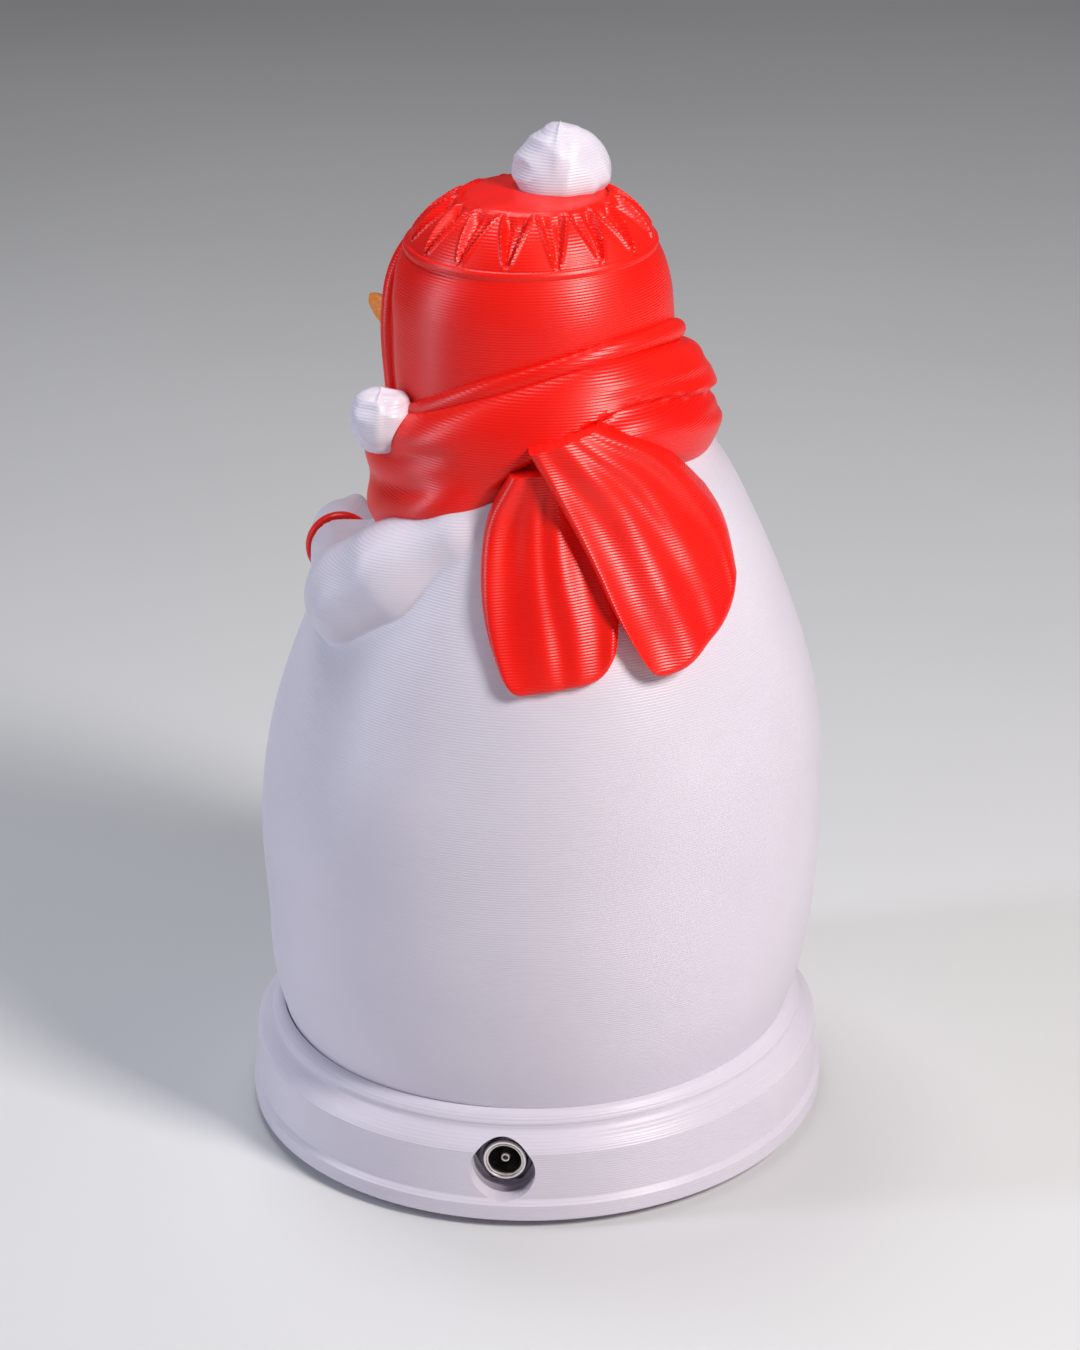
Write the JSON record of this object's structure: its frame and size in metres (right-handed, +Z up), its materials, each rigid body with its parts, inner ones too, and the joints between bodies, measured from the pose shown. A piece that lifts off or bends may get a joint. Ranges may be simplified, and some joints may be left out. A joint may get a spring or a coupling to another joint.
{
  "type": "snowman table lamp",
  "caption": "Hollow printed snowman with hat and scarf that turns on and lifts off a round base with a DC inlet and a lit column inside.",
  "frame": {"origin": "middle of the base on the plane of the feet", "axes": "+Z up along the lamp's axis, face towards -Y, figure's left hand towards +X"},
  "size_m": [0.11, 0.1103, 0.1909],
  "materials": {
    "white_print": "printed layers, satin",
    "red_print": "printed layers, glossy",
    "orange_print": "printed layers",
    "coal_print": "printed, matt",
    "nickel": "plated",
    "dark_nut": "black nickel",
    "black_moulding": "moulded",
    "contact_pin": "plated",
    "screw_steel": "zinc plated",
    "foot_rubber": "matt",
    "wire_red": "extruded",
    "wire_black": "extruded",
    "strip_board": "coated flexible board",
    "led_package": "phosphor"
  },
  "bodies": {
    "base": {"base_housing": "white_print", "bottom_cover": "white_print", "cover_screws": "screw_steel", "rubber_feet": "foot_rubber", "dc_jack_barrel": "nickel", "dc_jack_insulator": "black_moulding", "dc_jack_pin": "contact_pin", "dc_jack_nut": "dark_nut", "dc_jack_tabs": "contact_pin", "lead_positive": "wire_red", "lead_negative": "wire_black", "led_column": "white_print", "led_strip": "strip_board", "led_chips": "led_package", "column_screws": "screw_steel"},
    "ring": {"turning_ring": "white_print"},
    "figure": {"body_shell": "white_print", "cuff_band_left": "red_print", "cuff_band_right": "red_print", "mitten_left": "white_print", "mitten_right": "white_print", "coat_buttons": "coal_print", "neck_dowel": "white_print", "head_shell": "white_print", "eyes": "coal_print", "mouth_coals": "coal_print", "carrot_nose": "orange_print", "hat_shell": "red_print", "hat_brim_roll": "red_print", "hat_crown_gathers": "red_print", "hat_crown_disc": "red_print", "top_pompom": "white_print", "ear_pompom_left": "white_print", "ear_pompom_right": "white_print", "scarf_wrap": "red_print", "scarf_tail_lower": "red_print", "scarf_tail_upper": "red_print"}
  },
  "joints": [
    {"name": "figure_turn", "type": "hinge", "parent": "base", "child": "ring", "pos_m": [0, 0, 0.0195], "axis": [0, 0, 1], "continuous": true},
    {"name": "figure_lift", "type": "slide", "parent": "ring", "child": "figure", "axis": [0, 0, 1], "range_m": [0, 0.09]}
  ]
}
